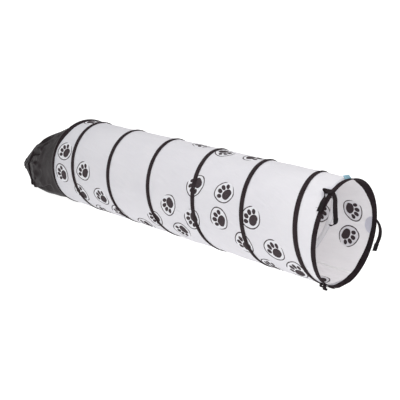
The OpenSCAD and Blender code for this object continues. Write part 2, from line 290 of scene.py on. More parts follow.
def sweep(centres, ups, section, closed_path=False):
    """Sweeps a closed section (m, 2), as side and up offsets, along centres (n, 3). Returns
    points and faces. ups are the up directions; a section of shape (n, m, 2) may vary."""
    centres, ups = np.asarray(centres, float), np.asarray(ups, float)
    n = len(centres)
    if closed_path:
        tangent = np.roll(centres, -1, 0) - np.roll(centres, 1, 0)
    else:
        tangent = np.gradient(centres, axis=0)
    tangent /= np.linalg.norm(tangent, axis=1, keepdims=True)
    ups = ups - tangent * np.sum(ups * tangent, 1, keepdims=True)
    ups /= np.linalg.norm(ups, axis=1, keepdims=True)
    side = np.cross(tangent, ups)
    section = np.asarray(section, float)
    if section.ndim == 2:
        section = np.broadcast_to(section, (n,) + section.shape)
    m = section.shape[1]
    points = centres[:, None] + side[:, None] * section[..., :1] + ups[:, None] * section[..., 1:]
    faces = [grid_faces(n, m, close_rows=closed_path, close_cols=True)]
    points = points.reshape(-1, 3)
    if not closed_path:
        for base, flip in ((0, True), ((n - 1) * m, False)):
            mid = len(points)
            points = np.vstack([points, points[base:base + m].mean(0)])
            a = base + np.arange(m)
            b = base + (np.arange(m) + 1) % m
            tri = np.stack([np.full(m, mid), b, a] if flip else [np.full(m, mid), a, b], -1)
            faces.append(tri)
    return points, faces


# ---------------------------------------------------------------- materials
def material(name):
    m = bpy.data.materials.new(name)
    m.use_nodes = True
    nodes, links = m.node_tree.nodes, m.node_tree.links
    for n in list(nodes):
        nodes.remove(n)
    out = nodes.new("ShaderNodeOutputMaterial")
    return m, nodes, links, out


def node(nodes, kind, **values):
    n = nodes.new(kind)
    for key, value in values.items():
        if key in n.inputs:
            n.inputs[key].default_value = value
        else:
            setattr(n, key, value)
    return n


def uv_weave(nodes, links, pitch, ribs=False):
    """A plain weave, or crosswise ribs, in metres on the cloth's own UVs: 0 to 1."""
    uv = node(nodes, "ShaderNodeUVMap", uv_map="painted_shade")
    split = node(nodes, "ShaderNodeSeparateXYZ")
    links.new(uv.outputs[0], split.inputs[0])
    waves = []
    for axis in (0,) if ribs else (0, 1):
        scale = node(nodes, "ShaderNodeMath", operation="MULTIPLY")
        scale.inputs[1].default_value = 2 * math.pi / pitch
        wave = node(nodes, "ShaderNodeMath", operation="SINE")
        links.new(split.outputs[axis], scale.inputs[0])
        links.new(scale.outputs[0], wave.inputs[0])
        waves.append(wave)
    if ribs:
        return waves[0].outputs[0]
    both = node(nodes, "ShaderNodeMath", operation="MULTIPLY")
    links.new(waves[0].outputs[0], both.inputs[0])
    links.new(waves[1].outputs[0], both.inputs[1])
    return both.outputs[0]


def mottle(nodes, links, scale, detail=4.0, rough=0.55, stretch=None):
    coord = node(nodes, "ShaderNodeTexCoord")
    tex = node(nodes, "ShaderNodeTexNoise", Scale=scale, Detail=detail, Roughness=rough)
    source = coord.outputs["Object"]
    if stretch:
        mapping = node(nodes, "ShaderNodeMapping")
        mapping.inputs["Scale"].default_value = stretch
        links.new(source, mapping.inputs["Vector"])
        source = mapping.outputs[0]
    links.new(source, tex.inputs["Vector"])
    return tex.outputs["Fac"]


def ramp(nodes, links, fac, low, high, lo=0.3, hi=0.7):
    r = node(nodes, "ShaderNodeValToRGB")
    r.color_ramp.elements[0].position, r.color_ramp.elements[1].position = lo, hi
    r.color_ramp.elements[0].color = (*low, 1)
    r.color_ramp.elements[1].color = (*high, 1)
    links.new(fac, r.inputs[0])
    return r.outputs[0]


def bump(nodes, links, height, distance, strength=1.0, normal=None):
    b = node(nodes, "ShaderNodeBump", Strength=strength, Distance=distance)
    links.new(height, b.inputs["Height"])
    if normal is not None:
        links.new(normal, b.inputs["Normal"])
    return b.outputs[0]


def painted_shade(name, low, high, mottle_scale=9.0, pitch=0.0005, weave=0.00006, crinkle=0.0003,
          crinkle_scale=60.0, through=0.0, rough=0.8, sheen=0.2, ribs=False, stretch=None,
          spec=0.25, glow=(1.0, 1.0, 1.0)):
    m, nodes, links, out = material(name)
    patches = mottle(nodes, links, mottle_scale, 5.0)
    colour = ramp(nodes, links, patches, low, high)
    normal = bump(nodes, links, mottle(nodes, links, crinkle_scale, 3.0, 0.5, stretch), crinkle)
    normal = bump(nodes, links, uv_weave(nodes, links, pitch, ribs), weave, normal=normal)
    bsdf = node(nodes, "ShaderNodeBsdfPrincipled", Roughness=rough)
    bsdf.inputs["Sheen Weight"].default_value = sheen
    bsdf.inputs["Sheen Roughness"].default_value = 0.45
    bsdf.inputs["Specular IOR Level"].default_value = spec
    links.new(colour, bsdf.inputs["Base Color"])
    links.new(normal, bsdf.inputs["Normal"])
    shader = bsdf.outputs[0]
    if through:
        # Light that comes through the weave is a little warmer than what it turns back.
        passed = node(nodes, "ShaderNodeBsdfTranslucent")
        warm = [tuple(c * g for c, g in zip(shade, glow)) for shade in (low, high)]
        links.new(ramp(nodes, links, patches, *warm), passed.inputs["Color"])
        links.new(normal, passed.inputs["Normal"])
        mix = node(nodes, "ShaderNodeMixShader", Fac=through)
        links.new(shader, mix.inputs[1])
        links.new(passed.outputs[0], mix.inputs[2])
        shader = mix.outputs[0]
    links.new(shader, out.inputs[0])
    return m


WHITE = painted_shade("white_taffeta", (0.775, 0.776, 0.824), (0.81, 0.811, 0.854), 6.0, 0.0006, 0.00003,
              0.0005, 38.0, through=0.32, rough=0.62, sheen=0.15, stretch=(0.35, 1, 1),
              glow=(1.0, 0.94, 0.87))
DISC = painted_shade("print_white", (0.85, 0.85, 0.88), (0.885, 0.885, 0.905), 30.0, 0.0006, 0.00003,
             0.0002, 60.0, through=0.34, rough=0.62, sheen=0.1)
INK = painted_shade("print_ink", (0.040, 0.030, 0.034), (0.060, 0.046, 0.050), 160.0, 0.0006, 0.00005,
            0.0002, 80.0, rough=0.7, sheen=0.0, spec=0.1)
TAPE = painted_shade("black_tape", (0.024, 0.017, 0.019), (0.038, 0.029, 0.032), 40.0, 0.0011, 0.00005,
             0.0002, 180.0, rough=0.8, sheen=0.0, ribs=True, spec=0.05)
HEM = painted_shade("black_hem", (0.018, 0.012, 0.014), (0.030, 0.022, 0.025), 25.0, 0.0006, 0.00002,
            0.0006, 70.0, rough=0.7, sheen=0.0, spec=0.04)
THREAD = painted_shade("black_thread", (0.035, 0.031, 0.032), (0.060, 0.054, 0.055), 300.0, 0.0006,
               0.00002, 0.0001, 300.0, rough=0.6, sheen=0.0, spec=0.12)
RIBBON = painted_shade("ribbon_weave", (0.014, 0.010, 0.012), (0.024, 0.018, 0.020), 50.0, 0.0012,
               0.00005, 0.0002, 120.0, rough=0.65, sheen=0.0, ribs=True, spec=0.05)
PILE = painted_shade("hook_and_loop_pile", (0.010, 0.009, 0.010), (0.024, 0.021, 0.022), 500.0, 0.0012,
             0.00008, 0.0006, 900.0, rough=0.9, sheen=0.01, spec=0.04)
SOCK = painted_shade("black_nylon", (0.010, 0.007, 0.008), (0.022, 0.016, 0.018), 14.0, 0.0006, 0.00002,
             0.0009, 55.0, rough=0.46, sheen=0.0, spec=0.035)
CHANNEL = painted_shade("wire_channel", (0.93, 0.93, 0.955), (0.96, 0.96, 0.975), 30.0, 0.0008, 0.00003,
                0.0002, 90.0, through=0.06, rough=0.65)
LABEL = painted_shade("label_weave", (0.16, 0.36, 0.47), (0.33, 0.56, 0.66), 45.0, 0.0008, 0.00008,
              0.0001, 200.0, through=0.15, rough=0.5, sheen=0.3)
# Grey-blue painted shade, seen from inside the tube, where the ties and the binding's edges block light
# coming through the cloth.
PAINTED_SHADE_GREY = painted_shade("painted_shade_grey", (0.58, 0.58, 0.66), (0.65, 0.65, 0.73), 40.0, 0.0006, 0.00003,
              0.0002, 90.0, through=0.2, rough=0.7)
SEAM = painted_shade("seam_tape", (0.96, 0.96, 0.965), (0.985, 0.985, 0.985), 50.0, 0.0008, 0.00003,
             0.0002, 120.0, through=0.1, rough=0.6)


def steel():
    m, nodes, links, out = material("spring_steel")
    fac = mottle(nodes, links, 400.0, 3.0, 0.6, (0.05, 1, 1))
    bsdf = node(nodes, "ShaderNodeBsdfPrincipled", Metallic=1.0)
    links.new(ramp(nodes, links, fac, (0.42, 0.42, 0.44), (0.60, 0.60, 0.62)), bsdf.inputs["Base Color"])
    rough = node(nodes, "ShaderNodeMapRange")
    rough.inputs["To Min"].default_value, rough.inputs["To Max"].default_value = 0.25, 0.42
    links.new(fac, rough.inputs["Value"])
    links.new(rough.outputs[0], bsdf.inputs["Roughness"])
    links.new(bump(nodes, links, fac, 0.00005), bsdf.inputs["Normal"])
    links.new(bsdf.outputs[0], out.inputs[0])
    return m


STEEL = steel()


# ---------------------------------------------------------------- skins
def build_skins():
    for k in LENGTHS:
        x1, x0 = PLANES[k - 1], PLANES[k]
        # Both ends are sewn inside the hems, just short of the rings.
        if k == 1:
            x1 = -SKIN_INSET
        if k == 6:
            x0 = -LENGTH + SKIN_INSET
        rows = max(12, int(round((x1 - x0) / 0.0042)) + 1)
        cols = 432
        x = np.linspace(x1, x0, rows)[:, None] + np.zeros((1, cols + 1))
        a = np.linspace(0, 360, cols + 1)[None, :] + np.zeros((rows, 1))
        points = wall(x, a)
        uvs = np.stack([x, np.radians(a) * SKIN_R], -1)
        obj = new_mesh(f"skin_{k}_cloth", points.reshape(-1, 3), [grid_faces(rows, cols + 1)], WHITE,
                       uvs=uvs.reshape(-1, 2))
        # Normals come from the whole tube's surface, so no line shows where two lengths meet.
        e = 0.001
        du = wall(x + e, a) - wall(x - e, a)
        da = wall(x, a + 0.25) - wall(x, a - 0.25)
        normal = np.cross(du, da)
        normal /= np.maximum(np.linalg.norm(normal, axis=-1, keepdims=True), 1e-12)
        obj.data.normals_split_custom_set_from_vertices(normal.reshape(-1, 3).astype(np.float32))
        closing_part(obj, share(x.reshape(-1), k), f"skin_{k}")


# ---------------------------------------------------------------- wires and bindings
CRIMP_ANGLE = 200


def spiral_frame(t):
    """Angle and centre line x of the spiral at t turns."""
    return START_ANGLE + 360 * t, spiral_x(t)


def build_wires():
    ring = np.linspace(0, 2 * math.pi, 9)[:-1] + math.pi / 8
    section = np.stack([WIRE_R * np.cos(ring), WIRE_R * np.sin(ring)], -1)
    for k in LENGTHS:
        t1 = min(k, TURNS)
        t = np.linspace(k - 1, t1, int(120 * (t1 - k + 1)) + 1)
        a, x = spiral_frame(t)
        grid_x = x[:, None] + section[None, :, 0]
        points = place(grid_x, a[:, None], RING_R + section[None, :, 1])
        obj = new_mesh(f"spring_turn_{k}", points.reshape(-1, 3),
                       [grid_faces(len(t), 8, close_cols=True)], STEEL)
        closing_part(obj, np.repeat(share(x, k), 8), f"wire_turn_{k}")
    for end, x0, body in (("mouth", 0.0, "mouth"), ("far", -LENGTH, "far_end")):
        a = np.linspace(0, 360, 181)[:-1]
        points = place(x0 + section[None, :, 0], a[:, None], RING_R + section[None, :, 1])
        obj = new_mesh(f"{end}_ring_spring", points.reshape(-1, 3),
                       [grid_faces(180, 8, close_rows=True, close_cols=True)], STEEL)
        part_of(obj, body, f"{end}_ring_wire")
        # The crimped sleeve has two pinched grooves.
        s = np.linspace(0, 1, 25)
        grooves = np.exp(-((s - 0.3) / 0.06) ** 2) + np.exp(-((s - 0.7) / 0.06) ** 2)
        pinch = 0.00145 - 0.00018 * grooves
        pinch[0] = pinch[-1] = 0.00128
        unit = section / WIRE_R
        grid_x = x0 + pinch[:, None] * unit[None, :, 0]
        angles = CRIMP_ANGLE + 6 * s[:, None]
        points = place(grid_x, angles, RING_R + pinch[:, None] * unit[None, :, 1])
        obj = new_mesh(f"{end}_ring_crimp", points.reshape(-1, 3),
                       [grid_faces(25, 8, close_cols=True)], STEEL)
        part_of(obj, body, f"{end}_ferrule")


def tape_edge(t, side):
    """Half width of the binding towards the mouth (+1) or the far end (-1)."""
    x = spiral_x(t)
    room = -0.0027 - x if side > 0 else x + LENGTH - 0.0027
    wave = 0.0004 * noise(t * 41.0, 0.5 + 0 * t, 31 if side > 0 else 37)
    return np.minimum(TAPE_HALF, np.maximum(0.0031, room)) + wave


def build_bindings():
    # Half a section: (share of the half width, height). The tape lies flat on the skin, climbs
    # over the wire and comes down again, and is folded under.
    outer = [(1.0, 0.0004), (0.985, 0.0011), (0.93, 0.0013), (0.80, 0.0010), (0.66, 0.0012),
             (0.45, 0.0015), (0.30, 0.0023), (0.20, 0.0034), (0.11, 0.0041), (0.0, 0.0043)]
    for k in LENGTHS:
        t0, t1 = k - 1, min(k, TURNS)
        n = int(round(240 * (t1 - t0))) + 1
        t = np.linspace(t0, t1, n)
        a, xc = spiral_frame(t)
        right, left = tape_edge(t, 1), tape_edge(t, -1)
        puff = 0.00025 * noise(t * 57.0, 0.5 + 0 * t, 43)
        profile = []
        for share_out, height in outer:
            profile.append((share_out * right, TAPE_IN + height + puff * (height > 0.003)))
        for share_out, height in outer[-2::-1]:
            profile.append((-share_out * left, TAPE_IN + height + puff * (height > 0.003)))
        for share_out in (-0.9, -0.3, 0.3, 0.9):
            profile.append((share_out * (right if share_out > 0 else left), TAPE_IN + 0 * t))
        px = np.stack([p[0] for p in profile], 1)
        pr = np.stack([p[1] for p in profile], 1)
        m = px.shape[1]
        points = place(xc[:, None] + px, a[:, None], pr)
        along = np.radians(a - START_ANGLE) * RING_R
        uvs = np.stack([along[:, None] + 0 * px, px], -1)
        made = Parts()
        w = share(xc, k)
        made.add(points, [grid_faces(n, m, close_cols=True)], 0, uvs, np.repeat(w, m))
        idx = np.arange(m)
        for end in (0, n - 1):
            ring_points = points[end]
            this, after = (idx, (idx + 1) % m) if end == 0 else ((idx + 1) % m, idx)
            cap = np.stack([np.full(m, m), this, after], -1)
            made.add(np.vstack([ring_points, ring_points.mean(0)]), cap, 0, None, np.full(m + 1, w[end]))
        stitch_binding(made, k, t0, t1)
        obj = made.mesh(f"binding_{k}_tape", [TAPE, THREAD])
        closing_part(obj, made.weight(), f"binding_{k}")


def stitch_binding(made, k, t0, t1):
    """Two rows of lockstitch along the binding."""
    step = 0.0042 / (2 * math.pi * RING_R)
    count = int((t1 - t0) / step)
    tc = t0 + (np.arange(count) + 0.5) * (t1 - t0) / count
    half = np.array([-0.42, -0.25, 0.25, 0.42]) * (t1 - t0) / count
    t = tc[:, None] + half[None, :]
    lift = np.array([0.0, 0.00028, 0.00028, 0.0])[None, :]
    weights = np.repeat(share(spiral_x(tc), k), 12)
    for side in (1, -1):
        offset = side * (tape_edge(tc, side) - 0.0022)
        x = spiral_x(t) + offset[:, None]
        add_stitches(made, x, START_ANGLE + 360 * t, TAPE_IN + 0.00118, lift, 0.00028, weights)


# ---------------------------------------------------------------- hems
# The mouth hem is folded in unevenly: (angle, width of the part inside the tube) in millimetres.
HEM_WIDTHS = [(-12, 31), (0, 25.5), (12, 25), (60, 24), (110, 24), (160, 30), (188, 44), (208, 59),
              (216, 56), (226, 46), (235, 40), (243, 34), (250, 27), (257, 22.5), (266, 20),
              (280, 20.5), (290, 24), (307, 27), (321, 30.5), (332, 27), (340, 31), (348, 31),
              (360, 25.5), (372, 25)]


def closes(a, margin):
    """1 round the hem, and 0 at 0 and 360 degrees, where its two ends meet."""
    return smooth(a / margin) * smooth((360 - a) / margin)


def hem_inner_width(a):
    angles, widths = [w[0] for w in HEM_WIDTHS], [w[1] / 1000 for w in HEM_WIDTHS]
    near = [np.interp(a + shift, angles, widths) for shift in (-4, -2, 0, 2, 4)]
    uneven = 0.0008 * noise(a / 3.7, 0.5 + 0 * a, 67)
    return sum(near) / 5 + uneven * smooth((a - 5) / 20) * smooth((355 - a) / 20)


def far_hem_outer(a):
    """The sock's black edging laps further over the tube on top."""
    return 0.006 + 0.016 * smooth((-np.cos(np.radians(a)) - 0.45) / 0.4)


def build_hem(name, body, x0, way, inner_width, outer_width, replaced):
    """A strip of black cloth folded round an end ring. way is -1 at the mouth, where the cloth
    runs back from the ring, and +1 at the far end."""
    cols = 361
    a = np.linspace(0, 360, cols)
    inner = inner_width(a) if callable(inner_width) else inner_width + 0 * a
    outer = outer_width(a) if callable(outer_width) else outer_width + 0 * a
    outer = outer + 0.0007 * noise(a / 7.0, 0.5 + 0 * a, 71) * closes(a, 15)
    pucker = 0.00035 * noise(a / 4.0, 0.5 + 0 * a, 73) * closes(a, 10)
    rows = []
    # From the outer edge, over the ring, to the inner edge: (x, radius, place across the strip).
    for f in (1.0, 0.97, 0.90, 0.80, 0.65, 0.50, 0.35, 0.22):
        lift = 0.0010 if f < 0.97 else 0.0003
        if f == 0.80:
            lift = 0.00045
        rows.append((x0 + way * outer * f, SKIN_R + lift + pucker * (f < 0.9), outer * f))
    bead = 0.0024
    for ang in range(-30, 211, 20):
        c, s = math.cos(math.radians(90 - ang)), math.sin(math.radians(90 - ang))
        rows.append((x0 - way * bead * 1.04 * c, RING_R - 0.0001 + bead * s, -0.004 - 0.00004 * ang))
    for f in (0.10, 0.22, 0.38, 0.55, 0.70, 0.84, 0.92, 0.975, 1.0):
        lift = -0.0011 - 0.0002 * (f > 0.5)
        if f == 0.84:
            lift = -0.0006
        if f == 1.0:
            lift = -0.0004
        wave = 0.0006 * noise(a / 5.0, 0.5 + f * 3 + 0 * a, 79) * f * closes(a, 10)
        rows.append((x0 + way * (0.0012 + inner * f), SKIN_R + lift - np.abs(wave), -0.02 - inner * f))
    x, r, v = [np.stack([row[i] + 0 * a for row in rows]) for i in range(3)]
    # The flanges follow the skin, which is drawn in behind the ring.
    follow = wall_r(x, a[None, :]) - SKIN_R
    flange = np.abs(x - x0) > 0.004
    points = place(x, a[None, :], r + np.where(flange, follow, 0))
    uvs = np.stack([np.radians(a)[None, :] * SKIN_R + 0 * v, v], -1)
    made = Parts()
    made.add(points, [grid_faces(len(rows), cols)], 0, uvs)
    count = 420
    middles = (np.arange(count) + 0.5) * 360.0 / count
    half = np.array([-0.40, -0.22, 0.22, 0.40]) * 360.0 / count
    aa = middles[:, None] + half[None, :]
    ridge = np.array([0.0, 0.0003, 0.0003, 0.0])[None, :]
    xs = x0 + way * 0.8 * np.interp(aa, a, outer)
    add_stitches(made, xs, aa, wall_r(xs, aa) + 0.00105, ridge, 0.0003)
    xs = x0 + way * (0.0012 + np.interp(aa, a, inner) * 0.84)
    add_stitches(made, xs, aa, wall_r(xs, aa) - 0.00105, -ridge, 0.0003)
    part_of(made.mesh(name, [HEM, THREAD]), body, replaced)


# ---------------------------------------------------------------- paw prints
# The cloth is printed with one group of prints, repeated every 1.22 m along the tube, and its
# mirror image round the other half. (x, arc, heading of the toes, left paw) in metres, degrees.
REPEAT = 1.2245
PRINTS = [
    (-0.5525, 0.5168, 152, False),
    (-0.5569, 0.3831, 168, True),
    (-0.3617, 0.4365, 149, False),
    (-0.4124, 0.2910, 147, True),
    (-0.2249, 0.3122, 134, False),
    (-0.1305, 0.2178, 125, True),
    (-0.2926, 0.1778, 128, False),
    (-0.1238, 0.0400, 150, True),
    (-0.7437, 0.5121, 222, False),
    (-0.7394, 0.3409, 211, False),
    (-0.9050, 0.3779, 221, False),
    (-0.8425, 0.2374, 221, True),
    (-1.0343, 0.2656, 211, False),
    (-1.1588, 0.1715, 210, True),
    (-1.1730, 0.0315, 201, False),
    (-0.9770, 0.0720, 181, True),
]
MIRROR_X, MIRROR_ARC = -0.6888, 0.752


def print_places():
    places = []
    for x, arc, heading, left in PRINTS:
        for n in (-1, 0, 1):
            drift = -0.011 * max(0, -n)
            places.append((x + REPEAT * n, arc + drift, heading, left))
            places.append((MIRROR_X - x + REPEAT * n, arc + MIRROR_ARC + drift, 180 - heading, not left))
    return [p for p in places if -LENGTH - 0.03 < p[0] < 0.03]


def rounded(points, steps=6):
    """A smooth closed curve through points."""
    p = np.asarray(points, float)
    out = []
    n = len(p)
    for i in range(n):
        for s in np.linspace(0, 1, steps, endpoint=False):
            out.append(catmull_rom(p[i - 1], p[i], p[(i + 1) % n], p[(i + 2) % n], s))
    return np.array(out)


# The hand-drawn ring round each paw, as (direction, distance) in degrees and millimetres.
RING_SHAPE = [(40, 50), (70, 51), (102, 54), (134, 58.5), (168, 53), (205, 50.5), (240, 54), (275, 57),
              (292, 57), (317, 51.5), (342, 49.5), (10, 49)]
RING_GAP = (-12, 36)    # the pen stroke is open here
PAD_SHAPE = [(-27, -17), (-21, -35), (-6, -42), (9, -41), (24, -35), (28, -17), (19, -3), (6, 4),
             (-7, 3), (-20, -4)]
# Each toe: its middle, half width and half height in millimetres, and tilt in degrees.
TOES = [(-32, 9, 9.8, 13.6, 24), (-12.5, 23, 10.2, 15.4, 8), (10.5, 22, 10.2, 15.4, -7),
        (30, 6, 9.4, 13.4, -24)]
# How far each disc is filled in, from its rim to its middle, and how high the prints stand.
DISC_RINGS = (0.985, 0.93, 0.87, 0.81, 0.75, 0.69, 0.63, 0.57, 0.51, 0.45, 0.39, 0.33, 0.27, 0.21,
              0.15, 0.08)
DISC_LIFT, INK_LIFT = 0.00022, 0.00042


def ring_radius(phi):
    ang = np.array([s[0] for s in RING_SHAPE], float)
    rad = np.array([s[1] for s in RING_SHAPE], float)
    order = np.argsort(ang)
    ang, rad = ang[order], rad[order]
    ang = np.concatenate([ang[-2:] - 360, ang, ang[:2] + 360])
    rad = np.concatenate([rad[-2:], rad, rad[:2]])
    phi = np.asarray(phi, float) % 360
    i = np.clip(np.searchsorted(ang, phi) - 1, 1, len(ang) - 3)
    s = (phi - ang[i]) / (ang[i + 1] - ang[i])
    return catmull_rom(rad[i - 1], rad[i], rad[i + 1], rad[i + 2], s)


def polar(radius, phi):
    return np.stack([radius * np.cos(np.radians(phi)), radius * np.sin(np.radians(phi))], -1)


def fill(outline, rings):
    """Points and faces of a shape filled from its outline towards its middle."""
    mid = outline.mean(0)
    n = len(outline)
    pts = [mid + (outline - mid) * f for f in rings]
    points = np.concatenate(pts + [mid[None]])
    faces = [grid_faces(len(rings), n, close_cols=True)]
    base = (len(rings) - 1) * n
    idx = np.arange(n)
    faces.append(np.stack([base + idx, base + (idx + 1) % n, np.full(n, len(points) - 1)], -1))
    return points, faces


def paw_pieces(seed):
    """One print in its own plane, millimetres, toes up: (points, faces, material, lift)."""
    rng = np.random.default_rng(seed)

    def hand_drawn(phi):
        return ring_radius(phi) * (1 + 0.012 * np.sin(np.radians(phi * 2 + rng.uniform(0, 360))))

    phi = np.linspace(0, 360, 91)[:-1]
    pieces = [(*fill(polar(hand_drawn(phi), phi), DISC_RINGS), 0, DISC_LIFT)]
    # The pen line thins out towards both of its ends and breaks up in places.
    phi = np.linspace(RING_GAP[1], RING_GAP[0] + 360, 97)
    s = (phi - phi[0]) / (phi[-1] - phi[0])
    radius = hand_drawn(phi)
    width = 2.25 * smooth(s / 0.05) ** 0.5 * smooth((1 - s) / 0.22) ** 0.5 + 0.45
    width = width * (1 + 0.22 * noise(s * 23.0, 0.5 + 0 * s, 90 + seed % 7))
    line = np.concatenate([polar(radius - width, phi), polar(radius + width, phi)])
    pieces.append((line, [grid_faces(2, len(phi))], 1, INK_LIFT))
    pieces.append((*fill(rounded(PAD_SHAPE), (1.0, 0.87, 0.74, 0.61, 0.48, 0.35, 0.2)), 1, INK_LIFT))
    for cx, cy, half_w, half_h, tilt in TOES:
        u = np.radians(np.linspace(0, 360, 21)[:-1])
        oval = np.stack([half_w * np.cos(u) * (1 + 0.08 * np.sin(u)), half_h * np.sin(u)], -1)
        c, sn = math.cos(math.radians(tilt)), math.sin(math.radians(tilt))
        oval = oval @ np.array([[c, sn], [-sn, c]]) + (cx, cy)
        pieces.append((*fill(oval, (1.0, 0.75, 0.5, 0.25)), 1, INK_LIFT))
    return pieces


def build_prints():
    lengths = {k: Parts() for k in LENGTHS}
    for number, (x, arc, heading, left) in enumerate(print_places()):
        h = math.radians(heading)
        forward, right = np.array([math.cos(h), math.sin(h)]), np.array([math.sin(h), -math.cos(h)])
        mirror = -1 if left else 1
        for pts, faces, mat, lift in paw_pieces(number):
            flat = (pts[:, :1] * mirror * right + pts[:, 1:] * forward) / 1000.0
            px, parc = x + flat[:, 0], arc + flat[:, 1]
            # The disc is printed outside only; the ink shows on both faces of the cloth.
            for side in (1,) if mat == 0 else (1, -1):
                for f in faces:
                    add_print_faces(lengths, px, parc, f, mat, lift * side, side * mirror < 0)
    for k, made in lengths.items():
        obj = made.mesh(f"paw_prints_{k}", [DISC, INK])
        closing_part(obj, made.weight())


def add_print_faces(lengths, px, parc, faces, mat, lift, turned):
    """Each face goes to the length of tube that its middle lies in."""
    mid = px[faces].mean(1)
    clear = (px[faces].max(1) < -0.0035) & (px[faces].min(1) > -LENGTH + 0.0035)
    for k, made in lengths.items():
        inside = (mid <= PLANES[k - 1]) & (mid > PLANES[k]) & clear
        if not inside.any():
            continue
        used, back = np.unique(faces[inside], return_inverse=True)
        x, arc = px[used], parc[used]
        kept = back.reshape(faces[inside].shape)
        if turned:
            kept = kept[:, ::-1]
        points = wall(x, np.degrees(arc / SKIN_R), lift)
        made.add(points, kept, mat, np.stack([x, arc], -1), share(x, k))


# ---------------------------------------------------------------- seams, patches, label
SEAM_ANGLE = -24.0


def build_seams():
    for k in LENGTHS:
        x1 = -0.024 if k == 1 else PLANES[k - 1]
        x0 = -LENGTH + 0.031 if k == 6 else PLANES[k]
        n = max(8, int((x1 - x0) / 0.006))
        x = np.linspace(x1, x0, n)[:, None]
        across = np.array([-0.0050, -0.0040, -0.0024, 0.0, 0.0024, 0.0040, 0.0050])[None, :]
        drop = np.array([0.0001, 0.0004, 0.0007, 0.0009, 0.0007, 0.0004, 0.0001])[None, :]
        wave = 0.0006 * noise(x / 0.05, 0.5 + 0 * x, 83)
        a = SEAM_ANGLE + np.degrees((across + wave) / SKIN_R)
        points = place(x, a, wall_r(x, a) - drop)
        uvs = np.stack([x + 0 * a, across + 0 * a], -1)
        obj = new_mesh(f"seam_{k}_tape", points.reshape(-1, 3), [grid_faces(n, 7)], SEAM,
                       uvs=uvs.reshape(-1, 2))
        closing_part(obj, share(np.repeat(x.reshape(-1), 7), k), f"seam_{k}")


PATCH_START = 0.018     # the patches start this far behind the mouth ring


def build_patches():
    """Grey half-discs inside the tube behind the ties, with slightly ragged edges: painted shade where the
    ties block the light coming through the cloth.
    """
    rings, n = np.linspace(0.04, 1, 12), 33
    phi = np.linspace(90, 270, n)
    for name, angle, radius in (("low", 35.0, 0.045), ("near", 150.0, 0.045), ("far", 276.0, 0.042)):
        pts = []
        for f in rings:
            rag = 1 + 0.02 * noise(phi / 20.0, 0.5 + 0 * phi, 97) * (f == 1)
            dx = radius * f * rag * np.cos(np.radians(phi))
            da = radius * f * rag * np.sin(np.radians(phi))
            a = angle + np.degrees(da / SKIN_R)
            x = -PATCH_START + dx
            lift = -0.0003 - 0.0003 * (1 - f**6)
            pts.append(place(x, a, wall_r(x, a) + lift))
        pts = np.array(pts)
        uvs = np.stack([pts[..., 0], pts[..., 2]], -1)
        obj = new_mesh(f"patch_{name}_cloth", pts.reshape(-1, 3), [grid_faces(12, n)], PAINTED_SHADE_GREY,
                       uvs=uvs.reshape(-1, 2))
        part_of(obj, "mouth", f"patch_{name}")


def build_label():
    """A woven label folded into a flat loop, sewn in at the hem and leaning back over the tube."""
    n, m = 15, 13
    u = np.linspace(-0.5, 0.5, n)
    height, width = 0.0205, 0.048
    a = 185.4 - np.degrees(u * width / SKIN_R)
    base = place(-0.0235, a, wall_r(-0.0235, a) + 0.0006)
    pts = np.zeros((m, n, 3))
    for i in range(m):
        # Up the back, round the fold and down the front.
        ang = math.pi * i / (m - 1)
        thick, up = 0.0011 * math.cos(ang), height * math.sin(ang) ** 0.35
        curl = 0.0010 * np.sin(u * 5 + up * 80)
        pts[i] = base
        pts[i, :, 0] += -up * 0.72 + thick * 0.7 + curl
        pts[i, :, 1] += 0.10 * up
        pts[i, :, 2] += up * 0.68 + thick * 0.7
    across = np.broadcast_to(u * 0.04, (m, n))
    along = np.broadcast_to(np.linspace(0, 0.04, m)[:, None], (m, n))
    obj = new_mesh("care_label_loop", pts.reshape(-1, 3), [grid_faces(m, n)], LABEL,
                   uvs=np.stack([across, along], -1).reshape(-1, 2))
    part_of(obj, "mouth", "care_label")


def build_channels():
    """The light strip sewn inside the tube behind the wire, with a grey ridge along each edge for its
    stitching; their grey is painted shade where the binding's folded edges block light coming through the
    cloth.
    """
    # It stops short of both hems; first and last are turns of the spiral.
    first, last = 0.26, 5.82
    cols = [(-1.0, 0.0003), (-0.96, 0.0008), (-0.5, 0.0011), (0.0, 0.0018), (0.5, 0.0011), (0.96, 0.0008),
            (1.0, 0.0003)]
    drop = np.array([depth for _, depth in cols])[None, :]
    for k in LENGTHS:
        t0, t1 = k - 1, min(k, TURNS)
        n = int(round(200 * (t1 - t0))) + 1
        t = np.linspace(max(t0, first), min(t1, last), n)
        a, xc = spiral_frame(t)
        right, left = tape_edge(t, 1) * 0.92, tape_edge(t, -1) * 0.92
        px = np.stack([share_out * (right if share_out > 0 else left) for share_out, _ in cols], 1)
        x, aa = xc[:, None] + px, a[:, None] + 0 * px
        uvs = np.stack([np.radians(aa) * SKIN_R, px], -1)
        made = Parts()
        made.add(place(x, aa, wall_r(x, aa) - drop), [grid_faces(n, len(cols))], 0, uvs,
                 np.repeat(share(xc, k), len(cols)))
        # The edge ridges take the grey painted shade of the binding's edges, seen through the cloth.
        for side, edge in ((1, right), (-1, left)):
            offs = np.array([-0.0009, -0.0003, 0.0003, 0.0009])[None, :] + side * edge[:, None]
            xs = xc[:, None] + offs
            rs = wall_r(xs, a[:, None]) - np.array([0.0004, 0.0011, 0.0011, 0.0004])[None, :]
            made.add(place(xs, a[:, None], rs), [grid_faces(n, 4)], 1, None, np.repeat(share(xc, k), 4))
        obj = made.mesh(f"wire_channel_{k}", [CHANNEL, PAINTED_SHADE_GREY])
        closing_part(obj, made.weight())


